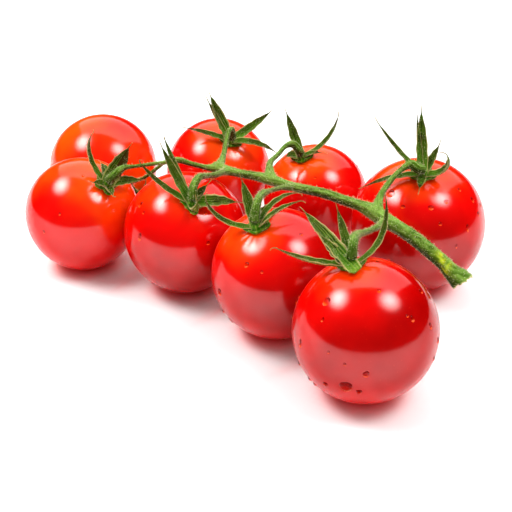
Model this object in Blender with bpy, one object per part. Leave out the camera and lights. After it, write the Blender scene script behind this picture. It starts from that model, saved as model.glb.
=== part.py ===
"""A truss of small tomatoes, as picked: one vine, eight calyces and eight fruits in two rows.

Metres, +Z up. The main stem runs along X, with its cut end at +X, and the fruits stand on z = 0.
"""
import math

import bmesh
import bpy
from mathutils import Matrix, Vector

# Fruits: middle x, middle y, radius, tilt of the stem end from upright, azimuth it tilts towards.
FRUITS = {
    1: (-0.0578, 0.0122, 0.0170, 110, -9),
    2: (-0.0409, -0.0168, 0.0164, 42, -6),
    3: (-0.0078, -0.0114, 0.0170, 38, -42),
    4: (0.0262, -0.0177, 0.0170, 25, -104),
    5: (0.0577, -0.0300, 0.0171, 12, -153),
    6: (-0.0258, 0.0312, 0.0166, 37, -33),
    7: (0.0097, 0.0318, 0.0158, 25, -102),
    8: (0.0462, 0.0254, 0.0186, 20, -67),
}
FRUIT_SIDES = 24
FRUIT_RINGS = 15
DIMPLE_DEPTH = 0.03      # share of the radius, under the calyx
DIMPLE_ANGLE = 0.28
TIP_DEPTH = 0.010        # share of the radius, at the blossom end
TIP_ANGLE = 0.22
LOBE_HEIGHT = 0.006      # share of the radius, round the shoulders
LOBES = 3
TABLE_SINK = 0.0003      # how deep the flat spot cuts the lowest skin
PROBE_STEP = 3           # degrees between the places where the lowest skin is looked for
SHARP_ANGLE = 40         # degrees between faces above which an edge stays sharp

# Calyx: a low button on the skin, with the sepals growing out of its side.
SKIN_GAP = 0.0003
BUTTON_PROFILE = ((0.0015, 0.0), (0.0022, 0.0003), (0.0022, 0.0009), (0.0016, 0.0014), (0.0011, 0.0018))
BUTTON_SIDES = 12
SEPAL_START = 0.0011     # distance of a sepal's root from the calyx axis
SEPAL_LIFT = 0.0008      # height of its middle over the skin there
SEPAL_STEPS = 7
SEPAL_FOLD = 0.20        # how far the edges rise over the midrib, as a share of the width
SEPAL_RIB = 0.0009
SEPAL_EDGE = 0.0006
SEPAL_TIP = 0.0006
SEPAL_TAPER = 0.75       # power of the taper towards the tip
SEPAL_BELLY = 0.9        # how much the taper is held back along the blade

# Sepals of each calyx: azimuth round the stem axis, length, rise at the root, rise at the tip, swing, width.
SEPALS = {
    1: ((5, 0.0055, 8, -20, 0, 0.0024), (75, 0.0095, 8, -36, 0, 0.0024),
        (145, 0.0110, 8, -38, 0, 0.0026), (215, 0.0080, 8, -32, 0, 0.0024),
        (290, 0.0085, 8, -32, 0, 0.0024)),
    2: ((183, 0.0176, 5, 99, 10, 0.0021), (113, 0.0122, 35, 56, 0, 0.0032),
        (145, 0.0074, 14, -31, 0, 0.0026), (60, 0.0098, 26, 4, 0, 0.0024),
        (-32, 0.0048, 22, 31, 0, 0.0024), (-115, 0.0051, 21, 25, 0, 0.0022)),
    3: ((183, 0.0180, 0, 58, 0, 0.0022), (157, 0.0167, 20, 46, 0, 0.0028),
        (146, 0.0186, 8, 27, 0, 0.0024), (31, 0.0116, 16, 0, 0, 0.0027),
        (79, 0.0063, 35, 20, 0, 0.0022), (-42, 0.0081, 24, 136, 0, 0.0026)),
    4: ((197, 0.0173, 4, 114, 0, 0.0022), (129, 0.0124, 34, 49, 0, 0.0028),
        (62, 0.0142, 44, -37, 0, 0.0022), (28, 0.0136, 40, 9, 0, 0.0022),
        (95, 0.0080, 10, -10, 0, 0.0022)),
    5: ((203, 0.0175, 7, 41, 0, 0.0024), (156, 0.0183, 28, 35, 0, 0.0030),
        (171, 0.0101, 30, 56, 0, 0.0030), (129, 0.0141, 45, 45, 0, 0.0022),
        (60, 0.0184, 5, 82, 45, 0.0021)),
    6: ((157, 0.0150, 19, 39, 0, 0.0032), (67, 0.0151, 20, 43, 0, 0.0027),
        (-159, 0.0137, 5, -6, 0, 0.0018), (18, 0.0145, 37, -25, 0, 0.0022)),
    7: ((130, 0.0141, 45, 60, 0, 0.0028), (42, 0.0172, 6, 64, 25, 0.0024),
        (187, 0.0053, 22, -29, 0, 0.0030), (32, 0.0058, 19, -24, 0, 0.0018)),
    8: ((170, 0.0186, 26, 50, 0, 0.0021), (120, 0.0169, 39, 61, 0, 0.0030),
        (81, 0.0091, 30, 54, 0, 0.0022), (18, 0.0124, 5, 134, 10, 0.0024),
        (-143, 0.0153, 5, -22, 0, 0.0018), (-75, 0.0050, 5, -15, 0, 0.0022)),
}

# Main stem from its cut end to the last fruit, in millimetres: x, y, z, radius.
MAIN_STEM = (
    (70.5, -6.0, 23.05, 2.75), (68.6, -5.8, 24.0, 2.1), (66.2, -4.9, 25.2, 1.8), (63.2, -4.4, 26.6, 1.75),
    (57.6, -3.3, 28.8, 1.75), (53.0, -2.3, 30.0, 1.7), (47.4, -1.1, 31.0, 2.0), (43.8, -0.2, 31.8, 2.0),
    (39.5, 0.7, 32.1, 1.45), (33.9, 1.9, 31.9, 1.35), (27.7, 3.2, 31.7, 1.3), (20.8, 4.5, 30.8, 1.25),
    (15.5, 4.9, 30.5, 1.25), (9.8, 5.4, 30.6, 1.6), (4.6, 5.8, 30.3, 1.25), (-1.6, 6.3, 29.7, 1.2),
    (-8.2, 6.3, 29.5, 1.5), (-11.1, 4.0, 30.1, 0.8), (-14.5, 1.7, 31.2, 0.7), (-17.4, -0.8, 32.6, 0.85),
    (-19.7, -3.9, 32.5, 0.62), (-22.6, -8.5, 32.7, 0.55), (-24.6, -12.1, 33.0, 0.55),
    (-25.7, -15.2, 33.4, 0.85), (-26.3, -18.1, 32.3, 1.15),
)
CUT_SLANT = 0.35         # slope of the cut across the stem

# Pedicels, from the main stem to the fruit of that number, in millimetres: x, y, z, radius.
PEDICELS = {
    8: ((45.2, -0.5, 32.1, 1.7), (44.2, 3.7, 35.0, 0.85), (44.3, 9.2, 37.2, 0.75),
        (45.0, 14.0, 38.7, 0.8), (46.4, 16.6, 39.4, 1.25), (48.2, 17.2, 38.5, 1.3)),
    5: ((48.3, -1.3, 30.7, 1.5), (49.0, -7.4, 31.8, 0.8), (50.3, -16.8, 34.7, 0.65),
        (51.6, -24.0, 37.4, 0.9), (53.0, -28.6, 38.7, 1.1), (54.2, -31.4, 38.2, 1.1)),
    7: ((9.7, 5.5, 30.8, 1.7), (6.4, 10.6, 33.0, 0.85), (6.0, 15.5, 33.8, 0.7), (6.1, 19.7, 35.1, 0.75),
        (7.0, 22.5, 34.8, 1.1), (8.5, 23.2, 32.9, 1.15)),
    4: ((17.5, 4.7, 30.6, 1.2), (18.1, -2.2, 33.0, 0.65), (19.6, -10.3, 35.6, 0.6),
        (21.6, -17.4, 37.8, 0.9), (23.5, -22.8, 38.3, 1.0)),
    6: ((-8.6, 6.3, 29.6, 1.7), (-10.0, 11.0, 31.1, 0.85), (-12.7, 16.7, 33.4, 0.7),
        (-14.4, 20.8, 35.2, 0.7), (-14.7, 23.1, 34.9, 0.75)),
    3: ((-5.0, 6.0, 29.8, 1.3), (-4.2, 2.2, 30.8, 0.9), (-2.4, -3.5, 32.5, 0.8), (-1.2, -10.4, 34.9, 0.75),
        (-0.4, -14.6, 36.0, 1.0), (0.6, -18.1, 34.9, 1.1)),
    1: ((-19.8, -3.6, 32.6, 0.55), (-25.8, -5.2, 27.2, 0.5), (-30.8, -3.6, 24.2, 0.5),
        (-35.2, -1.2, 21.4, 0.5), (-37.8, 2.6, 17.6, 0.6), (-38.6, 6.4, 13.4, 0.8)),
}
STEM_SIDES = 10
STEM_STEPS = 3           # rings per point of the main stem
PEDICEL_SIDES = 8
PEDICEL_STEPS = 2
PEDICEL_ROOT = 0.0021    # height over the calyx's lowest face where a pedicel meets the button
PEDICEL_ROOT_RADIUS = 0.0011

RED = (0.60, 0.012, 0.008)
STEM_GREEN = (0.22, 0.33, 0.09)
SEPAL_GREEN = (0.09, 0.17, 0.04)


def clear_scene():
    for item in list(bpy.data.objects):
        bpy.data.objects.remove(item, do_unlink=True)


def make_material(name, colour, roughness):
    material = bpy.data.materials.new(name)
    material.use_nodes = True
    shader = material.node_tree.nodes["Principled BSDF"]
    shader.inputs["Base Color"].default_value = (*colour, 1.0)
    shader.inputs["Roughness"].default_value = roughness
    shader.inputs["Metallic"].default_value = 0.0
    material.diffuse_color = (*colour, 1.0)
    return material


def make_object(name, bm, material):
    """Turn a bmesh into a named object; its faces shaded smooth up to SHARP_ANGLE."""
    bmesh.ops.recalc_face_normals(bm, faces=bm.faces)
    mesh = bpy.data.meshes.new(name)
    bm.to_mesh(mesh)
    bm.free()
    mesh.materials.append(material)
    mesh.shade_smooth()
    mesh.set_sharp_from_angle(angle=math.radians(SHARP_ANGLE))
    piece = bpy.data.objects.new(name, mesh)
    bpy.context.collection.objects.link(piece)
    return piece


def fruit_frame(number):
    """Columns: two directions across the stem axis, and the axis itself, pointing out of the stem end."""
    tilt, azimuth = (math.radians(angle) for angle in FRUITS[number][3:])
    axis = Vector((math.sin(tilt) * math.cos(azimuth), math.sin(tilt) * math.sin(azimuth), math.cos(tilt)))
    across = Vector((1, 0, 0)) - axis * axis.x
    across.normalize()
    return Matrix((across, axis.cross(across), axis)).transposed()


def skin_reach(number, angle, around):
    """Distance from a fruit's middle to its skin, at an angle from the stem end."""
    radius = FRUITS[number][2]
    dimple = DIMPLE_DEPTH * math.exp(-(angle / DIMPLE_ANGLE) ** 2)
    tip = TIP_DEPTH * math.exp(-((math.pi - angle) / TIP_ANGLE) ** 2)
    lobes = LOBE_HEIGHT * math.cos(LOBES * around + number) * math.sin(angle) ** 2
    return radius * (1 - dimple - tip + lobes)


def skin_offset(number, angle, around):
    """Vector from a fruit's middle to its skin."""
    ring = math.sin(angle)
    direction = Vector((ring * math.cos(around), ring * math.sin(around), math.cos(angle)))
    return fruit_frame(number) @ direction * skin_reach(number, angle, around)


def fruit_middle(number):
    """Middle of a fruit that stands on the table with its lowest skin cut flat."""
    degrees = range(0, 360, PROBE_STEP)
    lowest = min(skin_offset(number, math.radians(half), math.radians(turn)).z
                 for half in range(0, 181, PROBE_STEP) for turn in degrees)
    return Vector((*FRUITS[number][:2], -lowest - TABLE_SINK))


def make_fruit(number, material):
    """One fruit: rings of skin round the stem axis, cut by the table."""
    middle = fruit_middle(number)
    bm = bmesh.new()
    rings = []
    for ring in range(1, FRUIT_RINGS):
        angle = math.pi * ring / FRUIT_RINGS
        turns = (math.tau * side / FRUIT_SIDES for side in range(FRUIT_SIDES))
        rings.append([bm.verts.new(middle + skin_offset(number, angle, turn)) for turn in turns])
    stem_end = bm.verts.new(middle + skin_offset(number, 0, 0))
    blossom_end = bm.verts.new(middle + skin_offset(number, math.pi, 0))
    for side in range(FRUIT_SIDES):
        after = (side + 1) % FRUIT_SIDES
        bm.faces.new((stem_end, rings[0][side], rings[0][after]))
        bm.faces.new((blossom_end, rings[-1][after], rings[-1][side]))
        for upper, lower in zip(rings, rings[1:]):
            bm.faces.new((upper[side], lower[side], lower[after], upper[after]))
    everything = bm.verts[:] + bm.edges[:] + bm.faces[:]
    cut = bmesh.ops.bisect_plane(bm, geom=everything, dist=1e-7, plane_co=(0, 0, 0), plane_no=(0, 0, -1),
                                 clear_outer=True)
    rim = [item for item in cut["geom_cut"] if isinstance(item, bmesh.types.BMEdge)]
    bmesh.ops.edgeloop_fill(bm, edges=rim)
    return make_object(f"tomato_{number}", bm, material)


def button_origin(number):
    """The point of the skin on a fruit's stem axis, under the calyx."""
    return fruit_middle(number) + skin_offset(number, 0, 0)


def sepal_path(number, sepal, steps):
    """Points, directions and side directions along a sepal's midrib."""
    azimuth, length, rise_root, rise_tip, swing, _ = sepal
    across, along, axis = fruit_frame(number).col
    start = math.radians(azimuth)
    outwards = across * math.cos(start) + along * math.sin(start)
    point = button_origin(number) + outwards * SEPAL_START + axis * SEPAL_LIFT
    path = []
    for step in range(steps + 1):
        share = step / steps
        heading = math.radians(azimuth + swing * share)
        rise = math.radians(rise_root + (rise_tip - rise_root) * share)
        flat = across * math.cos(heading) + along * math.sin(heading)
        direction = flat * math.cos(rise) + axis * math.sin(rise)
        path.append((point.copy(), direction, axis.cross(flat)))
        point = point + direction * (length / steps)
    return path


def sepal_width(share, width):
    """Width along a sepal: full near the root, then a long taper to the tip."""
    return max(SEPAL_TIP, width * (1 - share) ** SEPAL_TAPER * (1 + SEPAL_BELLY * share))


def add_blade(bm, number, sepal):
    """A folded blade with a rib, closed at root and tip; both faces are split along the same diagonals."""
    rings = []
    for step, (point, direction, side) in enumerate(sepal_path(number, sepal, SEPAL_STEPS)):
        half = sepal_width(step / SEPAL_STEPS, sepal[-1]) / 2
        up = direction.cross(side)
        fold = 2 * half * SEPAL_FOLD
        outline = ((-half, fold - SEPAL_EDGE / 2), (-half, fold + SEPAL_EDGE / 2), (0, SEPAL_RIB / 2),
                   (half, fold + SEPAL_EDGE / 2), (half, fold - SEPAL_EDGE / 2), (0, -SEPAL_RIB / 2))
        rings.append([bm.verts.new(point + side * across + up * height) for across, height in outline])
    for near, far in zip(rings, rings[1:]):
        for here, after in ((0, 1), (1, 2), (3, 4), (4, 5)):
            if here in (0, 1, 3):
                bm.faces.new((near[here], near[after], far[after]))
                bm.faces.new((near[here], far[after], far[here]))
            else:
                bm.faces.new((near[here], near[after], far[here]))
                bm.faces.new((near[after], far[after], far[here]))
        bm.faces.new((near[2], near[3], far[3]))
        bm.faces.new((near[2], far[3], far[2]))
        bm.faces.new((near[5], near[0], far[5]))
        bm.faces.new((near[0], far[0], far[5]))
    for ring in (rings[0], rings[-1]):
        bm.faces.new((ring[0], ring[1], ring[2], ring[5]))
        bm.faces.new((ring[5], ring[2], ring[3], ring[4]))


def make_button(number, material):
    """The receptacle: a low turned button a hair over the skin."""
    frame = fruit_frame(number)
    base = button_origin(number) + frame.col[2] * SKIN_GAP
    bm = bmesh.new()
    rings = []
    for radius, height in BUTTON_PROFILE:
        turns = (math.tau * side / BUTTON_SIDES for side in range(BUTTON_SIDES))
        offsets = (Vector((radius * math.cos(turn), radius * math.sin(turn), height)) for turn in turns)
        rings.append([bm.verts.new(base + frame @ offset) for offset in offsets])
    for side in range(BUTTON_SIDES):
        after = (side + 1) % BUTTON_SIDES
        for lower, upper in zip(rings, rings[1:]):
            bm.faces.new((lower[side], lower[after], upper[after], upper[side]))
    bm.faces.new(rings[0])
    bm.faces.new(rings[-1])
    return make_object(f"calyx_{number}", bm, material)


def fuse(first, others, solver="EXACT"):
    """Join the other objects to the first one with one Boolean union."""
    group = bpy.data.collections.new("to_join")
    bpy.context.scene.collection.children.link(group)
    for other in others:
        bpy.context.collection.objects.unlink(other)
        group.objects.link(other)
    union = first.modifiers.new("union", "BOOLEAN")
    union.operation = "UNION"
    union.operand_type = "COLLECTION"
    union.collection = group
    union.solver = solver
    evaluated = first.evaluated_get(bpy.context.evaluated_depsgraph_get())
    joined = bpy.data.meshes.new_from_object(evaluated)
    first.modifiers.remove(union)
    first.data = joined
    for other in others:
        bpy.data.objects.remove(other, do_unlink=True)
    bpy.data.collections.remove(group)
    return first


def make_calyx(number, material):
    button = make_button(number, material)
    blades = []
    for order, sepal in enumerate(SEPALS[number]):
        bm = bmesh.new()
        add_blade(bm, number, sepal)
        blades.append(make_object(f"blade_{number}_{order}", bm, material))
    return fuse(button, blades)


def smooth_route(points, per_span):
    """Catmull-Rom curve through points of any size, with per_span steps between two of them."""
    padded = [points[0], *points, points[-1]]
    route = []
    for before, here, after, later in zip(padded, padded[1:], padded[2:], padded[3:]):
        for step in range(per_span):
            t = step / per_span
            route.append([0.5 * (2 * b + (c - a) * t + (2 * a - 5 * b + 4 * c - d) * t * t
                                 + (3 * b - a - 3 * c + d) * t ** 3)
                          for a, b, c, d in zip(before, here, after, later)])
    route.append(list(points[-1]))
    return route


def make_tube(name, points, sides, per_span, material, fruit, slant=0.0):
    """A tube of varying radius that ends square to a fruit's stem axis; slant tilts the cut at its start."""
    route = smooth_route(points, per_span)
    places = [Vector(row[:3]) for row in route]
    bm = bmesh.new()
    rings = []
    across = Vector((0, 0, 1))
    for index, place in enumerate(places):
        before, after = places[max(index - 1, 0)], places[min(index + 1, len(places) - 1)]
        direction = (after - before).normalized()
        if index == len(places) - 1:
            direction = -fruit_frame(fruit).col[2]
        across = (across - direction * across.dot(direction)).normalized()
        other = direction.cross(across)
        ring = []
        for side in range(sides):
            turn = math.tau * side / sides
            offset = (across * math.cos(turn) + other * math.sin(turn)) * route[index][3]
            if index == 0:
                offset = offset - direction * slant * (route[0][3] + offset.dot(across))
            ring.append(bm.verts.new(place + offset))
        rings.append(ring)
    for near, far in zip(rings, rings[1:]):
        for side in range(sides):
            after = (side + 1) % sides
            bm.faces.new((near[side], near[after], far[after], far[side]))
    bm.faces.new(rings[0])
    bm.faces.new(rings[-1])
    return make_object(name, bm, material)


def fruit_end(number):
    """The last point of a pedicel, over the button of its fruit."""
    root = button_origin(number) + fruit_frame(number).col[2] * (SKIN_GAP + PEDICEL_ROOT)
    return (*root, PEDICEL_ROOT_RADIUS)


def in_metres(rows):
    return [[value / 1000 for value in row] for row in rows]


def make_vine(material):
    stem = (*in_metres(MAIN_STEM), fruit_end(2))
    vine = make_tube("vine", stem, STEM_SIDES, STEM_STEPS, material, 2, CUT_SLANT)
    branches = []
    for number, points in PEDICELS.items():
        route = (*in_metres(points), fruit_end(number))
        branches.append(make_tube(f"pedicel_{number}", route, PEDICEL_SIDES, PEDICEL_STEPS, material, number))
    return fuse(vine, branches)


def main():
    clear_scene()
    skin = make_material("tomato_skin", RED, 0.15)
    stem = make_material("vine_green", STEM_GREEN, 0.55)
    leaf = make_material("sepal_green", SEPAL_GREEN, 0.60)
    make_vine(stem)
    for number in FRUITS:
        make_calyx(number, leaf)
        make_fruit(number, skin)


main()
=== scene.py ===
# %% [markdown]
# # A truss of small tomatoes
#
# This lesson dresses a packed truss of tomatoes: fruits, calyces and the green vine that carries them.
# The imported solids give every place and size. Here each of them gets a finer mesh of the same form and a
# node material. The first cell loads the solids as a fixed frame.

# %% Load the imported truss
import math

import bmesh
import bpy
import numpy as np
from mathutils import Matrix, Vector


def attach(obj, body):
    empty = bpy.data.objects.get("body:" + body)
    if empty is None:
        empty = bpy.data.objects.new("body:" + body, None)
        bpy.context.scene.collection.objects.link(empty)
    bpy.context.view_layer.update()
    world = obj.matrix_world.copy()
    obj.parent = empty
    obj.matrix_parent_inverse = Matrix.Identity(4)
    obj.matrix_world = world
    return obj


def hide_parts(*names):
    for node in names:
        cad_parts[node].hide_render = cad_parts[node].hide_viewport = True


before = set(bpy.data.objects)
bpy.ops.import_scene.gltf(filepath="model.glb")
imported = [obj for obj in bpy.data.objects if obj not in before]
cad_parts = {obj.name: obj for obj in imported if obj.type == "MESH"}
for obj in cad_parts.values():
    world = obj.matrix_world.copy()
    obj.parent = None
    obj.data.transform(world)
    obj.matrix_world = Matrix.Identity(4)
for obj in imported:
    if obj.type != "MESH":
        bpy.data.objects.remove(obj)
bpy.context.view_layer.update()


def in_mm(box):
    """Points in rounded millimetres, to print."""
    return [tuple(round(float(v) * 1000, 1) for v in corner) for corner in box]


# %% [markdown]
# ## Camera
#
# The truss is seen from above its front right corner, with a short telephoto lens. A camera could be aimed
# with a Track To constraint, but a direction turned into a rotation needs no target object and stays put.

# %% Camera
VIEW_FROM = Vector((0.1372, -0.2013, 0.1357))
VIEW_AZIMUTH = math.radians(32.6)
VIEW_DOWN = math.radians(28.0)
LENS_MM, SENSOR_MM = 66.8, 36.0
NEAREST_SEEN = 0.005

view_direction = Vector((-math.sin(VIEW_AZIMUTH) * math.cos(VIEW_DOWN),
                         math.cos(VIEW_AZIMUTH) * math.cos(VIEW_DOWN), -math.sin(VIEW_DOWN)))
camera_data = bpy.data.cameras.new("truss_camera")
camera_data.lens = LENS_MM
camera_data.sensor_width = SENSOR_MM
camera_data.clip_start = NEAREST_SEEN
camera = bpy.data.objects.new("truss_camera", camera_data)
camera.location = VIEW_FROM
camera.rotation_euler = view_direction.to_track_quat("-Z", "Y").to_euler()
bpy.context.collection.objects.link(camera)
bpy.context.scene.camera = camera
bpy.context.scene.view_settings.view_transform = "Standard"
print("camera looks along", tuple(round(v, 3) for v in view_direction))

# %% [markdown]
# ## Small helpers
#
# Every piece below is made the same way: lists of points and faces become a mesh, the mesh becomes an object,
# and the object rides on the truss's one body and stands for its solid. Values that change from point to
# point, such as how ripe the skin is there, are kept on the mesh as named attributes. A material can read
# them, and they stay with the surface from every side.

# %% Mesh and colour helpers
def from_srgb(red, green, blue):
    """A colour as a screen shows it, 0 to 255, turned into the linear values that a shader takes."""
    return tuple((v / 255 / 12.92) if v <= 10 else ((v / 255 + 0.055) / 1.055) ** 2.4
                 for v in (red, green, blue)) + (1.0,)


def place_mesh(mesh, material, values):
    """A smooth object of a mesh, in one material, with named values at its points."""
    for key, numbers in values.items():
        mesh.attributes.new(key, "FLOAT", "POINT").data.foreach_set("value", np.asarray(numbers, np.float32))
    mesh.shade_smooth()
    mesh.materials.clear()
    mesh.materials.append(material)
    piece = bpy.data.objects.new(mesh.name, mesh)
    bpy.context.collection.objects.link(piece)
    return piece


def mesh_piece(name, points, faces, material, values):
    """The same, from points and faces."""
    mesh = bpy.data.meshes.new(name)
    mesh.from_pydata([tuple(p) for p in points], [], [tuple(f) for f in faces])
    mesh.validate()
    return place_mesh(mesh, material, values)


def put_on_truss(piece, node=None):
    """The piece rides with the truss, and may stand for a solid of it."""
    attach(piece, "root")
    if node:
        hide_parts(node)
    print(piece.name, "has", len(piece.data.vertices), "points")
    return piece


print("a screen's middle grey is", round(from_srgb(128, 128, 128)[0], 3), "to a shader")

# %% [markdown]
# ## Node tools
#
# Materials are built from nodes in code. One small class keeps that readable: it adds a node, sets its
# values and links its inputs in a single call, so that a material reads as a list of what it mixes.

# %% Node tools
class Nodes:
    """Adds nodes to a tree; a socket given as a value is linked, anything else is set."""

    def __init__(self, tree):
        self.tree = tree

    def add(self, kind, inputs=None, **settings):
        node = self.tree.nodes.new(kind)
        for key, value in settings.items():
            setattr(node, key, value)
        for key, value in (inputs or {}).items():
            if isinstance(value, bpy.types.NodeSocket):
                self.tree.links.new(value, node.inputs[key])
            else:
                node.inputs[key].default_value = value
        return node

    def value_at(self, name):
        """A named value of the mesh's points."""
        return self.add("ShaderNodeAttribute", attribute_name=name).outputs["Fac"]

    def math(self, operation, first, second=0.0, third=0.0):
        return self.add("ShaderNodeMath", {0: first, 1: second, 2: third}, operation=operation).outputs[0]

    def ramp(self, factor, low, high, to_low=0.0, to_high=1.0):
        """A smooth step of a value, from to_low under low to to_high over high."""
        return self.add("ShaderNodeMapRange", {"Value": factor, "From Min": low, "From Max": high,
                                               "To Min": to_low, "To Max": to_high},
                        interpolation_type="SMOOTHSTEP").outputs["Result"]

    def mix(self, factor, first, second):
        """A mix of two colours."""
        return self.add("ShaderNodeMix", {0: factor, 6: first, 7: second}, data_type="RGBA").outputs[2]

    def relief(self, height, strength, distance):
        """A normal that leans as a bumpy surface of that height does."""
        bump = self.add("ShaderNodeBump", {"Height": height, "Strength": strength, "Distance": distance})
        return bump.outputs["Normal"]

    def finish(self, varied, steady):
        """Links what varies over the surface to the shader, and sets what is the same all over."""
        shader = self.tree.nodes["Principled BSDF"]
        for name, socket in varied.items():
            self.tree.links.new(socket, shader.inputs[name])
        for name, value in steady.items():
            shader.inputs[name].default_value = value


def new_material(name):
    """A material and a Nodes helper for its tree."""
    material = bpy.data.materials.new(name)
    material.use_nodes = True
    return material, Nodes(material.node_tree)


def new_group(name, inputs, outputs):
    """A node group with named float inputs (name, value) and named outputs (name, socket type)."""
    tree = bpy.data.node_groups.new(name, "ShaderNodeTree")
    for label, value in inputs:
        tree.interface.new_socket(label, in_out="INPUT", socket_type="NodeSocketFloat").default_value = value
    for label, kind in outputs:
        tree.interface.new_socket(label, in_out="OUTPUT", socket_type=kind)
    nodes = Nodes(tree)
    return tree, nodes, nodes.add("NodeGroupInput").outputs, nodes.add("NodeGroupOutput").inputs


# %% [markdown]
# ## Effects that several finishes share
#
# A living surface is never one colour. Skin, stem and sepals all have soft blotches a few millimetres wide
# and fine grain under a millimetre, so that pair is one node group. Stem and sepals also have fibres that run
# along them: stripes round the piece, broken up by noise that is stretched along it. The fibres read the
# values "along" and "round", which the meshes of stem and sepals carry.

# %% Blotches and fibres as node groups
def make_blotches():
    tree, nodes, given, out = new_group("blotches and grain",
                                        [("Blotch Scale", 150.0), ("Grain Scale", 1500.0)],
                                        [("Blotch", "NodeSocketFloat"), ("Grain", "NodeSocketFloat")])
    place = nodes.add("ShaderNodeTexCoord").outputs["Object"]
    for label, source, detail in (("Blotch", "Blotch Scale", 2.0), ("Grain", "Grain Scale", 1.0)):
        noise = nodes.add("ShaderNodeTexNoise", {"Vector": place, "Scale": given[source], "Detail": detail})
        tree.links.new(nodes.ramp(noise.outputs["Fac"], 0.3, 0.7), out[label])
    return tree


def make_fibres():
    tree, nodes, given, out = new_group("fibres", [("Count", 12.0), ("Waver", 0.4)],
                                        [("Fibre", "NodeSocketFloat"), ("Streak", "NodeSocketFloat")])
    along, around = nodes.value_at("along"), nodes.value_at("round")
    drift = nodes.add("ShaderNodeTexNoise", {"Scale": 260.0, "Detail": 1.0,
                                             "Vector": nodes.add("ShaderNodeTexCoord").outputs["Object"]})
    turn = nodes.math("MULTIPLY_ADD", drift.outputs["Fac"], given["Waver"], around)
    wave = nodes.math("SINE", nodes.math("MULTIPLY", nodes.math("MULTIPLY", turn, given["Count"]), math.tau))
    tree.links.new(nodes.math("MULTIPLY_ADD", wave, 0.5, 0.5), out["Fibre"])
    strip = nodes.add("ShaderNodeCombineXYZ", {"X": nodes.math("MULTIPLY", along, 3.0),
                                               "Y": nodes.math("MULTIPLY", turn, given["Count"])})
    streak = nodes.add("ShaderNodeTexNoise", {"Vector": strip.outputs[0], "Scale": 1.6, "Detail": 2.0})
    tree.links.new(nodes.ramp(streak.outputs["Fac"], 0.35, 0.65), out["Streak"])
    return tree


def place_blotches(nodes, blotch_scale, grain_scale):
    """The outputs Blotch and Grain of the group, placed in a material."""
    group = nodes.add("ShaderNodeGroup", {"Blotch Scale": blotch_scale, "Grain Scale": grain_scale},
                      node_tree=BLOTCHES)
    return group.outputs["Blotch"], group.outputs["Grain"]


def place_fibres(nodes, count, waver):
    """The outputs Fibre and Streak of the group, placed in a material."""
    group = nodes.add("ShaderNodeGroup", {"Count": count, "Waver": waver}, node_tree=FIBRES)
    return group.outputs["Fibre"], group.outputs["Streak"]


BLOTCHES = make_blotches()
FIBRES = make_fibres()
print("node groups:", BLOTCHES.name, "and", FIBRES.name)

# %% [markdown]
# ## Tomato skin
#
# Ripe skin is a thin clear film over red flesh. The film mirrors sharply, the flesh under it glows a little,
# and the shoulders round the stem stay more orange than the belly. A plain glossy red would show none of
# that, so the shader has a coat for the film, some light under the surface, and a colour that follows the
# value "orange" that each fruit's mesh carries. That value also holds painted light: the skin is drawn
# lighter and more orange on the side towards the left soft box and at the blossom end. Tiny pale dots are
# the skin's pores.

# %% Tomato skin
SKIN_DEEP = from_srgb(154, 0, 0)
SKIN_RED = from_srgb(220, 3, 1)
SKIN_ORANGE = from_srgb(250, 76, 4)
SKIN_PORE = from_srgb(236, 60, 30)
SKIN_SCAR = from_srgb(150, 96, 40)
SKIN_GLOSS = from_srgb(255, 104, 92)
# How far the blotches shift the orange value, which is ripeness and painted light, and where it turns red and
# orange.
CLOUDING = 0.14
RED_RANGE, ORANGE_RANGE = (0.06, 0.56), (0.50, 1.0)
PORES_PER_METRE, PORE_RANGE, PORE_SHARE = 700.0, (0.05, 0.12), 0.22


def make_skin():
    material, nodes = new_material("tomato skin")
    blotch, grain = place_blotches(nodes, blotch_scale=90.0, grain_scale=900.0)
    # The orange value mixes ripeness with painted light: the skin is lighter and more orange towards the left
    # soft box and at the blossom end.
    ripeness_and_painted_light = nodes.math("SUBTRACT", nodes.value_at("orange"), CLOUDING / 2)
    clouded = nodes.math("MULTIPLY_ADD", blotch, CLOUDING, ripeness_and_painted_light)
    colour = nodes.mix(nodes.ramp(clouded, *RED_RANGE), SKIN_DEEP, SKIN_RED)
    colour = nodes.mix(nodes.ramp(clouded, *ORANGE_RANGE), colour, SKIN_ORANGE)
    place = nodes.add("ShaderNodeTexCoord").outputs["Object"]
    pores = nodes.add("ShaderNodeTexVoronoi", {"Vector": place, "Scale": PORES_PER_METRE}).outputs["Distance"]
    colour = nodes.mix(nodes.ramp(pores, *PORE_RANGE, PORE_SHARE, 0.0), colour, SKIN_PORE)
    colour = nodes.mix(nodes.value_at("scar"), colour, SKIN_SCAR)
    facing = nodes.add("ShaderNodeLayerWeight", {"Blend": 0.5}).outputs["Facing"]
    rough = nodes.ramp(blotch, 0.0, 1.0, 0.09, 0.13)
    rough = nodes.math("ADD", rough, nodes.ramp(facing, 0.75, 1.0, 0.0, 0.30))
    film = nodes.ramp(facing, 0.15, 0.5, 0.95, 0.0)
    nodes.finish({"Base Color": colour, "Roughness": rough, "Coat Weight": film,
                  "Normal": nodes.relief(grain, strength=0.03, distance=0.0001)},
                 {"IOR": 1.42, "Specular Tint": SKIN_GLOSS, "Coat Roughness": 0.14, "Subsurface Weight": 0.12,
                  "Subsurface Radius": (1.0, 0.12, 0.06), "Subsurface Scale": 0.003})
    return material


SKIN = make_skin()
print("made", SKIN.name)

# %% [markdown]
# ## The fruits
#
# Each fruit is nearly a ball: a little flat along its stem axis, dimpled under the calyx, with a small scar
# where the flower was. A scaled sphere would miss the shoulders. So the skin is a formula of two angles, the
# same one as in the solids, and the mesh takes many more steps of it. Fine pleats run into the dimple. The
# lowest skin is pressed flat on the table.

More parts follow.
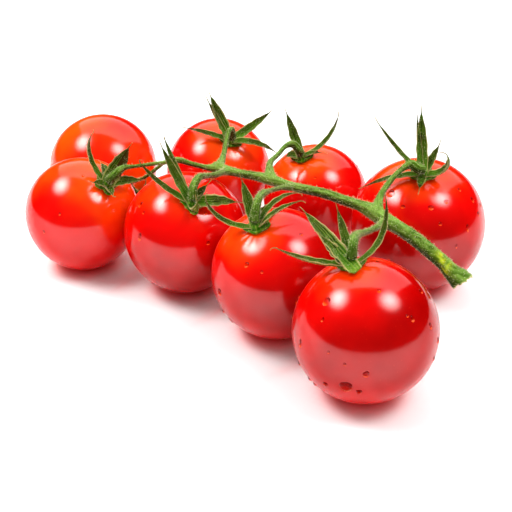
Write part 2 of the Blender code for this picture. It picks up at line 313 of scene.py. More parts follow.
# %% Fruit places and the skin formula
# Middle x, middle y, radius, tilt of the stem end from upright, azimuth it tilts towards, extra orange.
FRUITS = {
    1: (-0.0578, 0.0122, 0.0170, 110, -9, 0.42),
    2: (-0.0409, -0.0168, 0.0164, 42, -6, 0.40),
    3: (-0.0078, -0.0114, 0.0170, 38, -42, 0.14),
    4: (0.0262, -0.0177, 0.0170, 25, -104, 0.10),
    5: (0.0577, -0.0300, 0.0171, 12, -153, 0.02),
    6: (-0.0258, 0.0312, 0.0166, 37, -33, 0.30),
    7: (0.0097, 0.0318, 0.0158, 25, -102, 0.26),
    8: (0.0462, 0.0254, 0.0186, 20, -67, 0.18),
}
LOBE_HEIGHT, LOBES = 0.006, 3
DIMPLE_DEPTH, DIMPLE_ANGLE = 0.03, 0.28
TIP_DEPTH, TIP_ANGLE = 0.010, 0.22
TABLE_SINK = 0.0003
PLEATS, PLEAT_DEPTH, PLEAT_ANGLE, PLEAT_SPREAD = 9, 0.0035, 0.22, 0.16
FRUIT_SIDES, FRUIT_RINGS = 96, 72
SURVEY_DEGREES = 3


def fruit_frame(number):
    """Columns: two directions across the stem axis, and the axis itself."""
    tilt, azimuth = (math.radians(angle) for angle in FRUITS[number][3:5])
    axis = Vector((math.sin(tilt) * math.cos(azimuth), math.sin(tilt) * math.sin(azimuth), math.cos(tilt)))
    across = (Vector((1, 0, 0)) - axis * axis.x).normalized()
    return np.array(Matrix((across, axis.cross(across), axis)).transposed())


def skin_offset(number, angle, around, pleated=True):
    """Vectors from a fruit's middle to its skin, for arrays of angles from the stem end and round it."""
    dimple = DIMPLE_DEPTH * np.exp(-(angle / DIMPLE_ANGLE) ** 2)
    tip = TIP_DEPTH * np.exp(-((np.pi - angle) / TIP_ANGLE) ** 2)
    lobes = LOBE_HEIGHT * np.cos(LOBES * around + number) * np.sin(angle) ** 2
    reach = 1 - dimple - tip + lobes
    if pleated:
        wave = np.cos(PLEATS * around + 2 * np.sin(2 * around + number))
        near = np.exp(-((angle - PLEAT_ANGLE) / PLEAT_SPREAD) ** 2)
        reach = reach - PLEAT_DEPTH * (0.5 + 0.5 * wave) * near
    direction = np.stack([np.sin(angle) * np.cos(around), np.sin(angle) * np.sin(around), np.cos(angle)], -1)
    return (direction @ fruit_frame(number).T) * (FRUITS[number][2] * reach)[..., None]


def fruit_middle(number):
    """Middle of a fruit that stands on the table with its lowest skin pressed flat."""
    angle, around = np.meshgrid(np.radians(np.arange(0, 181, SURVEY_DEGREES)),
                                np.radians(np.arange(0, 360, SURVEY_DEGREES)))
    lowest = skin_offset(number, angle, around, pleated=False)[..., 2].min()
    return np.array([*FRUITS[number][:2], -lowest - TABLE_SINK])


MIDDLES = {number: fruit_middle(number) for number in FRUITS}
print("fruit middles in mm:", in_mm(MIDDLES.values()))

# %% [markdown]
# The skin's colour value is worked out here too: orange fades from the shoulders down, each fruit has its own
# share of it, painted light makes the side towards the left soft box and the blossom end a little more
# orange, as if lit by the box and by light bounced up from the table, and a slow wave round the fruit keeps
# the two sides from being alike. Painting the colour by hand would have to be done eight times.

# %% Build the fruits
# Painted light: skin that faces this direction, towards the left soft box, is drawn lighter and more orange,
# and so is skin round the blossom end, as painted light bounced up from the table.
PAINTED_LIGHT_SIDE = np.array([-0.6, -0.1, 0.8])
SHOULDER_ANGLE, BOUNCE_ANGLE, SCAR_ANGLE = 0.9, 1.1, 0.045
SHOULDER_SHARE, PAINTED_LIGHT_SHARE, BOUNCE_SHARE, WAVE_SHARE = 0.56, 0.24, 0.60, 0.10


def strip(near, far, sides):
    """Faces between two closed rings of points, which start at near and at far."""
    return [(near + i, far + i, far + (i + 1) % sides, near + (i + 1) % sides) for i in range(sides)]


def fan(tip, ring):
    """Faces from one point to each step of a closed ring of points."""
    return [(tip, ring[i], ring[(i + 1) % len(ring)]) for i in range(len(ring))]


def make_fruit(number):
    angle, around = np.meshgrid(np.pi * np.arange(1, FRUIT_RINGS) / FRUIT_RINGS,
                                math.tau * np.arange(FRUIT_SIDES) / FRUIT_SIDES, indexing="ij")
    angle = np.concatenate([angle.ravel(), [0.0, np.pi]])
    around = np.concatenate([around.ravel(), [0.0, 0.0]])
    points = MIDDLES[number] + skin_offset(number, angle, around)
    points[:, 2] = np.maximum(points[:, 2], 0.0)
    last = (FRUIT_RINGS - 2) * FRUIT_SIDES
    faces = fan(len(points) - 2, range(FRUIT_SIDES))
    faces += fan(len(points) - 1, range(last, last + FRUIT_SIDES)[::-1])
    for ring in range(FRUIT_RINGS - 2):
        faces += strip(ring * FRUIT_SIDES, (ring + 1) * FRUIT_SIDES, FRUIT_SIDES)
    shoulders = SHOULDER_SHARE * np.exp(-(angle / SHOULDER_ANGLE) ** 2)
    # Painted light on the side towards the left soft box, then painted bounce light round the blossom end.
    painted_light = PAINTED_LIGHT_SHARE * np.clip((points - MIDDLES[number]) @ PAINTED_LIGHT_SIDE / FRUITS[number][2], 0, 1) ** 2
    below = BOUNCE_SHARE * np.exp(-((np.pi - angle) / BOUNCE_ANGLE) ** 2)
    waves = WAVE_SHARE * np.cos(around - number) * np.sin(angle)
    orange = np.clip(FRUITS[number][5] + shoulders + painted_light + below + waves, 0, 1)
    scar = np.exp(-((np.pi - angle) / SCAR_ANGLE) ** 2)
    return mesh_piece(f"fruit_{number}", points, faces, SKIN, {"orange": orange, "scar": scar})


for number in FRUITS:
    put_on_truss(make_fruit(number), f"tomato_{number}")

# %% [markdown]
# ## Stem and sepal finishes
#
# Both are green and softly matte. The stem is the lighter one, with fibres and a yellower patch near the cut;
# its cut face is pale and rough, and the shader's sheen stands for down too fine to model. Its lower side is
# drawn darker and its pale streaks fade there: painted shade, so that its top looks lit. One picture wrapped
# round it would stretch at every fork, so the colours are mixed from the two shared effects and from values
# that the mesh carries.

# %% Stem material
# STEM_DARK is the colour of darker blotches and of the painted shade on the stem's lower side.
STEM_DARK = from_srgb(24, 40, 0)
STEM_MID = from_srgb(58, 96, 10)
STEM_PALE = from_srgb(130, 164, 70)
STEM_YELLOW = from_srgb(200, 208, 24)
STEM_CUT = from_srgb(196, 198, 124)
# What the shaders of stem and sepals have in common: a soft yellowish gloss, and light under a thin skin.
GREEN_SHADER = {"Specular IOR Level": 0.2, "Specular Tint": from_srgb(226, 240, 130),
                "Subsurface Radius": (0.5, 1.0, 0.2)}


def make_stem_finish():
    material, nodes = new_material("vine green")
    blotch, grain = place_blotches(nodes, blotch_scale=240.0, grain_scale=2400.0)
    fibre, streak = place_fibres(nodes, count=9.0, waver=0.25)
    # Painted shade: the stem is drawn darker where its surface faces down, and its pale streaks fade there.
    painted_underside_shade = nodes.value_at("painted_underside_shade")
    shade = nodes.math("MULTIPLY_ADD", painted_underside_shade, 0.9, nodes.math("MULTIPLY", blotch, 0.3))
    colour = nodes.mix(shade, STEM_MID, STEM_DARK)
    pale = nodes.math("MULTIPLY", streak, nodes.math("MULTIPLY_ADD", painted_underside_shade, -0.5, 0.58))
    colour = nodes.mix(pale, colour, STEM_PALE)
    web = nodes.math("MULTIPLY", nodes.value_at("web"), nodes.ramp(fibre, 0.2, 0.9, 0.35, 0.9))
    colour = nodes.mix(web, colour, STEM_PALE)
    patch = nodes.math("MULTIPLY", nodes.value_at("yellow"), nodes.ramp(blotch, 0.3, 0.8, 0.05, 0.95))
    colour = nodes.mix(patch, colour, STEM_YELLOW)
    colour = nodes.mix(nodes.value_at("cut"), colour, STEM_CUT)
    height = nodes.math("MULTIPLY_ADD", grain, 0.35, fibre)
    nodes.finish({"Base Color": colour, "Roughness": nodes.ramp(grain, 0, 1, 0.34, 0.56),
                  "Normal": nodes.relief(height, strength=0.55, distance=0.00012)},
                 {"Sheen Weight": 0.4, "Sheen Roughness": 0.3, "Sheen Tint": STEM_CUT,
                  "Subsurface Weight": 0.1, "Subsurface Scale": 0.0006, **GREEN_SHADER})
    return material


STEM = make_stem_finish()
print("made", STEM.name)

# %% [markdown]
# A sepal is darker, with lighter veins and margins, a pale root and a dry brown tip. Each of these is laid
# over the last one by its own value or effect, as a painter would glaze them. So one of them can be changed
# without touching the others.

# %% Sepal material
SEPAL_DARK = from_srgb(14, 30, 0)
SEPAL_MID = from_srgb(46, 80, 4)
SEPAL_PALE = from_srgb(158, 180, 70)
SEPAL_RIM = from_srgb(204, 178, 118)
SEPAL_FRESH = from_srgb(64, 124, 12)
SEPAL_BACK = from_srgb(84, 102, 24)
SEPAL_DRY = from_srgb(70, 40, 12)
SEPAL_STRAW = from_srgb(196, 150, 90)


def make_sepal_finish():
    material, nodes = new_material("sepal green")
    blotch, grain = place_blotches(nodes, blotch_scale=420.0, grain_scale=3600.0)
    fibre, _ = place_fibres(nodes, count=7.0, waver=0.12)
    along = nodes.value_at("along")
    colour = nodes.mix(blotch, SEPAL_DARK, SEPAL_MID)
    colour = nodes.mix(nodes.ramp(along, 0.02, 0.5, 0.75, 0.0), colour, SEPAL_FRESH)
    colour = nodes.mix(nodes.math("MULTIPLY", nodes.value_at("under"), 0.6), colour, SEPAL_BACK)
    colour = nodes.mix(nodes.math("MULTIPLY", nodes.ramp(fibre, 0.6, 1.0), 0.4), colour, SEPAL_PALE)
    colour = nodes.mix(nodes.ramp(nodes.value_at("edge"), 0.78, 1.0, 0.0, 0.75), colour, SEPAL_RIM)
    colour = nodes.mix(nodes.ramp(along, 0.0, 0.12, 0.3, 0.0), colour, SEPAL_PALE)
    dry = nodes.math("MULTIPLY", nodes.value_at("dry"), nodes.ramp(blotch, 0.0, 0.6, 0.75, 1.0))
    colour = nodes.mix(dry, colour, SEPAL_DRY)
    colour = nodes.mix(nodes.ramp(along, 0.86, 1.0, 0.0, 0.7), colour, SEPAL_STRAW)
    height = nodes.math("MULTIPLY_ADD", grain, 0.7, fibre)
    nodes.finish({"Base Color": colour, "Roughness": nodes.ramp(grain, 0, 1, 0.26, 0.5),
                  "Normal": nodes.relief(height, strength=0.8, distance=0.00012)},
                 {"Subsurface Weight": 0.08, "Subsurface Scale": 0.0004, **GREEN_SHADER})
    return material


SEPAL = make_sepal_finish()
print("made", SEPAL.name)

# %% [markdown]
# ## Calyces
#
# A calyx is the green star where fruit and stalk meet. Its sepals are narrow troughs: they leave the button
# flat on the skin, rise, and curl at a thread-thin tip. A flat leaf with an image would look like paper from
# the side. So each sepal is a closed blade swept along its own curve, folded along the midrib, with wavy
# margins. The curve follows the one in the solids, a blade may be slimmer than its solid, and a short hook of
# its own ends it.

# %% Sepal values
SKIN_GAP = 0.0003
SEPAL_START, SEPAL_LIFT, SEPAL_STEPS = 0.0011, 0.0008, 7
# Azimuth round the stem axis, length, rise at root, rise at tip, swing, width, then hook turn and dryness.
SEPALS = {
    1: ((5, 0.0055, 8, -20, 0, 0.0024, 0, 0.2), (75, 0.0095, 8, -36, 0, 0.0024, 0, 0.2),
        (145, 0.0110, 8, -38, 0, 0.0026, 0, 0.2), (215, 0.0080, 8, -32, 0, 0.0024, 0, 0.2),
        (290, 0.0085, 8, -32, 0, 0.0024, 0, 0.2)),
    2: ((183, 0.0176, 5, 99, 10, 0.0018, -60, 0.6), (113, 0.0122, 35, 56, 0, 0.0044, 20, 0.3),
        (145, 0.0074, 14, -31, 0, 0.0026, 0, 0.3), (60, 0.0098, 26, 4, 0, 0.0028, -30, 0.0),
        (-32, 0.0048, 22, 31, 0, 0.0024, 40, 0.0), (-115, 0.0051, 21, 25, 0, 0.0022, 0, 0.0)),
    3: ((183, 0.0180, 0, 58, 0, 0.0016, 110, 0.5), (157, 0.0167, 20, 46, 0, 0.0025, 10, 0.2),
        (146, 0.0186, 8, 27, 0, 0.0018, 330, 0.1), (31, 0.0116, 16, 0, 0, 0.0034, -15, 0.2),
        (79, 0.0063, 35, 20, 0, 0.0022, 0, 0.3), (-42, 0.0081, 24, 136, 0, 0.0026, 50, 0.0)),
    4: ((197, 0.0173, 4, 114, 0, 0.0016, 20, 0.5), (129, 0.0124, 34, 49, 0, 0.0028, 10, 0.1),
        (62, 0.0142, 44, -37, 0, 0.0018, -60, 0.3), (28, 0.0136, 40, 9, 0, 0.0017, -90, 0.2),
        (95, 0.0080, 10, -10, 0, 0.0022, 0, 0.2)),
    5: ((203, 0.0175, 7, 41, 0, 0.0020, -110, 0.6), (156, 0.0183, 28, 35, 0, 0.0036, -20, 0.1),
        (171, 0.0101, 30, 56, 0, 0.0034, -50, 0.1), (129, 0.0141, 45, 45, 0, 0.0022, 30, 0.3),
        (60, 0.0184, 5, 82, 45, 0.0017, 15, 0.3)),
    6: ((157, 0.0150, 19, 39, 0, 0.0036, 10, 0.0), (163, 0.0143, 19, 37, 0, 0.0016, 0, 0.1),
        (67, 0.0151, 20, 43, 0, 0.0027, 10, 0.2),
        (-159, 0.0137, 5, -6, 0, 0.0018, -20, 0.8), (18, 0.0145, 37, -25, 0, 0.0022, -40, 0.5)),
    7: ((130, 0.0141, 45, 60, 0, 0.0028, 20, 0.2), (42, 0.0172, 6, 64, 25, 0.0019, 60, 0.2),
        (187, 0.0053, 22, -29, 0, 0.0030, 0, 0.1), (32, 0.0058, 19, -24, 0, 0.0018, 0, 0.3)),
    8: ((170, 0.0186, 26, 50, 0, 0.0015, 20, 0.3), (120, 0.0169, 39, 61, 0, 0.0030, 10, 0.0),
        (126, 0.0157, 39, 60, 0, 0.0014, 0, 0.1), (81, 0.0091, 30, 54, 0, 0.0022, 60, 0.2),
        (18, 0.0124, 5, 134, 10, 0.0024, 60, 0.1), (-143, 0.0153, 5, -22, 0, 0.0018, 0, 0.9),
        (-75, 0.0050, 5, -15, 0, 0.0022, 0, 0.1)),
}
# Sepals rooted elsewhere on the button than their direction tells: fruit and azimuth, azimuth of the root.
ROOT_TURNS, ROOT_REACH = {(5, 156): 285, (5, 171): 215}, 0.0021
SEPAL_ROOT_LIFT, SEPAL_ROOT_PULL = 0.0002, 0.4
# Sepals with one half dried brown.
HALF_DRY = ((2, 113),)
HOOK_LENGTH, HOOK_STEPS = 0.0022, 5
BLADE_SPANS, BLADE_SIDE = 5, 5
FOLD, FOLD_CURVE, RIB, RIB_SPREAD, MARGIN = 0.34, 1.3, 0.00050, 0.3, 0.00022
# Width along a blade: how late and how fast it tapers, how far it swells, and its least width in the hook.
TAPER_LATE, TAPER_FAST, WIDTH_AT_ROOT, SWELL, TIP_WIDTH, TIP_SLIM = 2.4, 0.9, 0.95, 0.45, 0.00030, 0.6
# Height and step of the margins' waves, and how far each blade's waves are shifted from the last one's.
WAVE_HEIGHT, WAVE_STEP, WAVER, WAVER_STEP, WAVE_SHIFT = 0.10, 0.9, 0.05, 0.7, 1.7
# Share of the thickness above and below the line, and the least share of it that a narrow tip keeps.
THICK_ABOVE, THICK_BELOW, THICK_LEAST = 0.3, 0.7, 0.35
# Where along a blade dryness begins and over how much of it, for the tip and for a dried half.
DRY_FROM, DRY_OVER, HALF_DRY_FROM, HALF_DRY_OVER = 0.55, 0.35, 0.1, 0.2

print("sepals in all:", sum(len(sepals) for sepals in SEPALS.values()))

# %% [markdown]
# A sepal's midrib is walked in short steps. Each step heads a little further round and a little further up
# than the last, from the root's rise to the tip's, and the hook turns on from there. Few steps are enough,
# because a smooth curve is laid through them. Curves drawn by hand would take far longer to make, and would
# not follow a fruit that moves.

# %% The line of a sepal
def smooth_route(points, per_span):
    """A Catmull-Rom curve through rows of numbers, with per_span steps between two rows."""
    rows = np.array([points[0], *points, points[-1]], float)
    before, here, after, later = (rows[i:len(rows) - 3 + i, None, :] for i in range(4))
    t = (np.arange(per_span) / per_span)[None, :, None]
    route = 0.5 * (2 * here + (after - before) * t + (2 * before - 5 * here + 4 * after - later) * t ** 2
                   + (3 * here - before - 3 * after + later) * t ** 3)
    return np.vstack([route.reshape(-1, rows.shape[1]), rows[-1]])


def button_origin(number):
    """The point of the skin on a fruit's stem axis."""
    return MIDDLES[number] + skin_offset(number, np.zeros(1), np.zeros(1), pleated=False)[0]


def sepal_line(number, sepal):
    """Points along a sepal's midrib with its side directions, finer towards the hooked tip."""
    azimuth, length, rise_root, rise_tip, swing, _, hook, _ = sepal
    across, along, axis = fruit_frame(number).T
    flat = across * math.cos(math.radians(azimuth)) + along * math.sin(math.radians(azimuth))
    point = button_origin(number) + flat * SEPAL_START + axis * SEPAL_LIFT
    rooted = math.radians(ROOT_TURNS.get((number, azimuth), azimuth))
    aside = (across * math.cos(rooted) + along * math.sin(rooted)) * ROOT_REACH - flat * ROOT_REACH
    rows = []
    for step in range(SEPAL_STEPS + HOOK_STEPS + 1):
        share = min(step / SEPAL_STEPS, 1.0)
        bent = max(step - SEPAL_STEPS, 0) / HOOK_STEPS
        heading = math.radians(azimuth + swing * share)
        rise = math.radians(rise_root + (rise_tip - rise_root) * share + hook * bent)
        flat = across * math.cos(heading) + along * math.sin(heading)
        rows.append([*(point + aside * (1 - share)), *np.cross(axis, flat)])
        stride = (length - HOOK_LENGTH / 2) / SEPAL_STEPS if step < SEPAL_STEPS else HOOK_LENGTH / HOOK_STEPS
        point = point + (flat * math.cos(rise) + axis * math.sin(rise)) * stride
    root = button_origin(number) + aside
    rows[0][:3] = root + axis * SEPAL_ROOT_LIFT + (rows[0][:3] - root) * SEPAL_ROOT_PULL
    return smooth_route(rows, BLADE_SPANS)


print("first sepal's line has", len(sepal_line(2, SEPALS[2][0])), "points")

# %% [markdown]
# The blade's cross-section is a closed loop: the upper face from margin to margin, then the lower face back.
# It is thickest at the midrib and thin at the margins. Margins waver a little, and the hook is a mere thread.

# %% Sweep a blade
def add_blade(points, faces, values, number, order, sepal):
    line = sepal_line(number, sepal)
    places, sides = line[:, :3], line[:, 3:]
    forward = np.gradient(places, axis=0)
    forward /= np.linalg.norm(forward, axis=1, keepdims=True)
    sides = sides - forward * np.sum(sides * forward, axis=1, keepdims=True)
    sides /= np.linalg.norm(sides, axis=1, keepdims=True)
    ups = np.cross(forward, sides)
    count, body = len(line), SEPAL_STEPS * BLADE_SPANS
    share = np.minimum(np.arange(count) / body, 1.0)
    hook = np.clip((np.arange(count) - body) / (count - 1 - body), 0, 1)
    width = sepal[5] * (1 - share ** TAPER_LATE) ** TAPER_FAST * (WIDTH_AT_ROOT + SWELL * share)
    width = np.maximum(width, TIP_WIDTH * (1 - TIP_SLIM * hook))
    across = np.linspace(-1, 1, 2 * BLADE_SIDE + 1)
    loop = np.concatenate([across, across[::-1]])
    under = np.repeat([0.0, 1.0], len(across))
    phase = WAVE_SHIFT * order + number
    base, ring = len(points), len(loop)
    for step in range(count):
        half = width[step] / 2
        wave = WAVE_HEIGHT * half * np.sin(WAVE_STEP * step + phase + 2.0 * np.sign(loop)) * np.abs(loop) ** 3
        folded = 2 * half * FOLD * (np.abs(loop) ** FOLD_CURVE) + wave
        thick = MARGIN + (RIB - MARGIN) * np.exp(-(loop / RIB_SPREAD) ** 2)
        thick = thick * max(width[step] / sepal[5], THICK_LEAST)
        height = folded + np.where(under > 0, -THICK_BELOW, THICK_ABOVE) * thick
        reach = half * loop * (1 + WAVER * np.sin(WAVER_STEP * step + phase + loop))
        points.extend(places[step] + sides[step] * r + ups[step] * h for r, h in zip(reach, height))
        dry = np.full(ring, sepal[7] * np.clip((share[step] - DRY_FROM) / DRY_OVER, 0, 1))
        if (number, sepal[0]) in HALF_DRY:
            dried = np.clip((share[step] - HALF_DRY_FROM) / HALF_DRY_OVER, 0, 1)
            dry = np.maximum(dry, (loop < 0.1) * dried)
        along = np.full(ring, 0.9 * share[step] + 0.1 * hook[step])
        for key, numbers in (("along", along), ("round", 0.5 * np.abs(loop)), ("edge", np.abs(loop)),
                             ("under", under), ("dry", dry)):
            values[key].extend(numbers)
        if step:
            faces.extend(strip(base + (step - 1) * ring, base + step * ring, ring))
    faces.append(list(range(base, base + ring)))
    faces.append(list(range(base + (count - 1) * ring, base + count * ring))[::-1])


print("points round a blade:", 2 * (2 * BLADE_SIDE + 1))

# %% [markdown]
# The button under the sepals is a low saucer on the skin, turned like a lathe part. Its rim reaches out under
# each sepal and draws back between two of them, as the sepals are grown together there. A knob rises in its
# middle to meet the stalk.

# %% Build the calyces
BUTTON_PROFILE = ((0.0003, -0.0003), (0.0020, -0.0003), (0.0031, 0.0001), (0.0037, 0.0009), (0.0033, 0.0011),
                  (0.0022, 0.0007), (0.0013, 0.0010), (0.0011, 0.0019), (0.0003, 0.0022))
BUTTON_SIDES, LOBE_LEAST, LOBE_SPREAD = 64, 0.58, 0.45
# The rim's lobes begin past this radius and are whole this much further out.
LOBE_START, LOBE_WHOLE = 0.0013, 0.0012


def lobe_share(number, turn):
    """Reach of the button's rim round the stem axis: full at each sepal, least in the notches between."""
    roots = np.radians([sepal[0] for sepal in SEPALS[number]])[:, None]
    apart = (turn[None, :] - roots + math.pi) % math.tau - math.pi
    return LOBE_LEAST + (1 - LOBE_LEAST) * np.exp(-(apart / LOBE_SPREAD) ** 2).max(axis=0)


def add_button(points, faces, values, number):
    frame_of_fruit = fruit_frame(number)
    base = button_origin(number)
    start = len(points)
    profile = smooth_route(BUTTON_PROFILE, 4)
    turn = math.tau * np.arange(BUTTON_SIDES) / BUTTON_SIDES
    lobes = lobe_share(number, turn)
    for radius, height in profile:
        spread = np.clip((radius - LOBE_START) / LOBE_WHOLE, 0, 1)
        bulge = radius * (1 - spread + spread * lobes)
        local = np.stack([bulge * np.cos(turn), bulge * np.sin(turn), np.full(BUTTON_SIDES, height)], -1)
        points.extend(base + local @ frame_of_fruit.T)
        for key, value in (("along", 0.12), ("edge", 0.0), ("under", 0.0), ("dry", 0.0)):
            values[key].extend([value] * BUTTON_SIDES)
        values["round"].extend(turn / math.tau)
    for level in range(len(profile) - 1):
        for side in range(BUTTON_SIDES):
            after = (side + 1) % BUTTON_SIDES
            low, high = start + level * BUTTON_SIDES, start + (level + 1) * BUTTON_SIDES
            faces.append((low + side, low + after, high + after, high + side))
    faces.append([start + i for i in reversed(range(BUTTON_SIDES))])
    faces.append([start + (len(profile) - 1) * BUTTON_SIDES + i for i in range(BUTTON_SIDES)])


def make_calyx(number):
    points, faces = [], []
    values = {key: [] for key in ("along", "round", "edge", "under", "dry")}
    add_button(points, faces, values, number)
    for order, sepal in enumerate(SEPALS[number]):
        add_blade(points, faces, values, number, order, sepal)
    return mesh_piece(f"sepals_{number}", points, faces, SEPAL, values)


CALYXES = {number: put_on_truss(make_calyx(number), f"calyx_{number}") for number in FRUITS}

# %% [markdown]
# ## The vine
#
# The vine is one growth: a main stem that zigzags from fork to fork, with a stalk to each fruit. Tubes that
# merely cross would show seams, where the real forks swell into each other like webs. So rough tubes with
# extra balls at the forks are melted together with a voxel Remesh, then smoothed. After that the surface is
# pushed in and out by a wave round the stem, which leaves low ridges along it.

# %% Routes of stem and stalks
# Millimetres: x, y, z and radius, from the cut end and from the forks outwards.
MAIN_STEM = (
    (70.5, -6.0, 23.05, 2.75), (68.6, -5.8, 24.0, 2.1), (66.2, -4.9, 25.2, 1.8), (63.2, -4.4, 26.6, 1.75),
    (57.6, -3.3, 28.8, 1.75), (53.0, -2.3, 30.0, 1.7), (47.4, -1.1, 31.0, 2.0), (43.8, -0.2, 31.8, 2.0),
    (39.5, 0.7, 32.1, 1.45), (33.9, 1.9, 31.9, 1.35), (27.7, 3.2, 31.7, 1.3), (20.8, 4.5, 30.8, 1.25),
    (15.5, 4.9, 30.5, 1.25), (9.8, 5.4, 30.6, 1.6), (4.6, 5.8, 30.3, 1.25), (-1.6, 6.3, 29.7, 1.2),
    (-8.2, 6.3, 29.5, 1.5), (-11.1, 4.0, 30.1, 0.8), (-14.5, 1.7, 31.2, 0.7), (-17.4, -0.8, 32.6, 0.85),
    (-19.7, -3.9, 32.5, 0.62), (-22.6, -8.5, 32.7, 0.55), (-24.6, -12.1, 33.0, 0.55),
    (-25.7, -15.2, 33.4, 0.85), (-26.3, -18.1, 32.3, 1.15),
)
STALKS = {
    8: ((45.2, -0.5, 32.1, 1.7), (44.2, 3.7, 35.0, 0.85), (44.3, 9.2, 37.2, 0.75),
        (45.0, 14.0, 38.7, 0.8), (46.4, 16.6, 39.4, 1.25), (48.2, 17.2, 38.5, 1.3)),
    5: ((48.3, -1.3, 30.7, 1.5), (49.0, -7.4, 31.8, 0.8), (50.3, -16.8, 34.7, 0.65),
        (51.6, -24.0, 37.4, 0.9), (53.0, -28.6, 38.7, 1.1), (54.2, -31.4, 38.2, 1.1)),
    7: ((9.7, 5.5, 30.8, 1.7), (6.4, 10.6, 33.0, 0.85), (6.0, 15.5, 33.8, 0.7), (6.1, 19.7, 35.1, 0.75),
        (7.0, 22.5, 34.8, 1.1), (8.5, 23.2, 32.9, 1.15)),
    4: ((17.5, 4.7, 30.6, 1.2), (18.1, -2.2, 33.0, 0.65), (19.6, -10.3, 35.6, 0.6),
        (21.6, -17.4, 37.8, 0.9), (23.5, -22.8, 38.3, 1.0)),
    6: ((-8.6, 6.3, 29.6, 1.7), (-10.0, 11.0, 31.1, 0.85), (-12.7, 16.7, 33.4, 0.7),
        (-14.4, 20.8, 35.2, 0.7), (-14.7, 23.1, 34.9, 0.75)),
    3: ((-5.0, 6.0, 29.8, 1.3), (-4.2, 2.2, 30.8, 0.9), (-2.4, -3.5, 32.5, 0.8), (-1.2, -10.4, 34.9, 0.75),
        (-0.4, -14.6, 36.0, 1.0), (0.6, -18.1, 34.9, 1.1)),
    1: ((-19.8, -3.6, 32.6, 0.55), (-25.8, -5.2, 27.2, 0.5), (-30.8, -3.6, 24.2, 0.5),
        (-35.2, -1.2, 21.4, 0.5), (-37.8, 2.6, 17.6, 0.6), (-38.6, 6.4, 13.4, 0.8)),
}
STALK_ROOT, STALK_ROOT_RADIUS = 0.0022, 0.0013
ROUTE_STEPS = 10


def run_lengths(route):
    """Length along a route up to each of its points."""
    steps = np.linalg.norm(np.diff(route[:, :3], axis=0), axis=1)
    return np.concatenate([[0], np.cumsum(steps)])


def stalk_end(number):
    """Where a stalk sinks into the button of its fruit."""
    root = button_origin(number) + fruit_frame(number)[:, 2] * (SKIN_GAP + STALK_ROOT)
    return (*root, STALK_ROOT_RADIUS)


def route_to(number, rows):
    return smooth_route((*(np.array(rows) / 1000), stalk_end(number)), ROUTE_STEPS)


ROUTES = [route_to(2, MAIN_STEM)] + [route_to(number, rows) for number, rows in STALKS.items()]
print("length of vine in m:", round(float(sum(run_lengths(route)[-1] for route in ROUTES)), 3))

# %% [markdown]
# A web is a ball, squashed into the corner between stem and stalk. Each one sits a little way along the
# stalk, and the melting turns it into a smooth saddle.

# %% Rough tubes and webs
TUBE_SIDES = 20
CUT_SLANT = 0.35
WEB_PULL, WEB_SIZE = 0.55, 0.80
STALK_AHEAD, STEM_BACK = 6, 4


def route_frames(route):
    """Direction, across and other direction at each point of a route, turned along without twist."""
    places = route[:, :3]
    forward = np.gradient(places, axis=0)
    forward /= np.linalg.norm(forward, axis=1, keepdims=True)
    across, frames = np.array([0.0, 0.0, 1.0]), []
    for direction in forward:
        across = across - direction * across.dot(direction)
        across /= np.linalg.norm(across)
        frames.append((direction, across, np.cross(direction, across)))
    return np.array(frames)


def add_tube(bm, route, slant=0.0):
    frames = route_frames(route)
    rings = []
    for index, (row, (direction, across, other)) in enumerate(zip(route, frames)):
        ring = []
        for side in range(TUBE_SIDES):
            turn = math.tau * side / TUBE_SIDES
            offset = (across * math.cos(turn) + other * math.sin(turn)) * row[3]
            if index == 0:
                offset = offset - direction * slant * (row[3] + offset.dot(across))
            ring.append(bm.verts.new(row[:3] + offset))
        rings.append(ring)
    for near, far in zip(rings, rings[1:]):
        for side in range(TUBE_SIDES):
            after = (side + 1) % TUBE_SIDES
            bm.faces.new((near[side], near[after], far[after], far[side]))
    bm.faces.new(reversed(rings[0]))
    bm.faces.new(rings[-1])


def add_web(bm, corner, towards_stalk, towards_stem, radius):
    """A ball pulled out between two directions, to fill the corner of a fork."""
    place = Vector(corner) + (Vector(towards_stalk) + Vector(towards_stem)) * radius * WEB_PULL
    bmesh.ops.create_icosphere(bm, subdivisions=3, radius=radius, matrix=Matrix.Translation(place))


print("points round a tube:", TUBE_SIDES)

# %% [markdown]
# At the cut end the fibres were torn rather than sliced. A ring of small wedges of uneven length stands
# there, before the melting, so that the end comes out ragged.

# %% Melt the vine together
VOXEL = 0.00024
SMOOTHING_ROUNDS = 6
FRAY_COUNT, FRAY_FOOT, FRAY_TIP = 26, 0.00036, 0.00012
FRAY_LEAST, FRAY_VARIES, FRAY_LEAN, FRAY_RING, FRAY_RISE = 0.0004, 0.0007, 0.25, 0.92, 0.35


def add_frays(bm, rng):
    """Uneven splinters round the cut end."""
    row, (direction, across, other) = ROUTES[0][0], route_frames(ROUTES[0])[0]
    for order in range(FRAY_COUNT):
        turn = math.tau * (order + 0.5 * rng.random()) / FRAY_COUNT
        out = across * math.cos(turn) + other * math.sin(turn)
        tall = FRAY_LEAST + FRAY_VARIES * rng.random()
        foot = row[:3] + out * row[3] * FRAY_RING - direction * CUT_SLANT * row[3] * (1 + math.cos(turn))
        aim = Vector(-direction + out * FRAY_LEAN).normalized()
        turned = aim.to_track_quat("Z", "Y").to_matrix().to_4x4()
        place = Matrix.Translation(Vector(foot) + aim * (tall * FRAY_RISE)) @ turned
        bmesh.ops.create_cone(bm, cap_ends=True, segments=8, radius1=FRAY_FOOT, radius2=FRAY_TIP,
                              depth=tall, matrix=place)


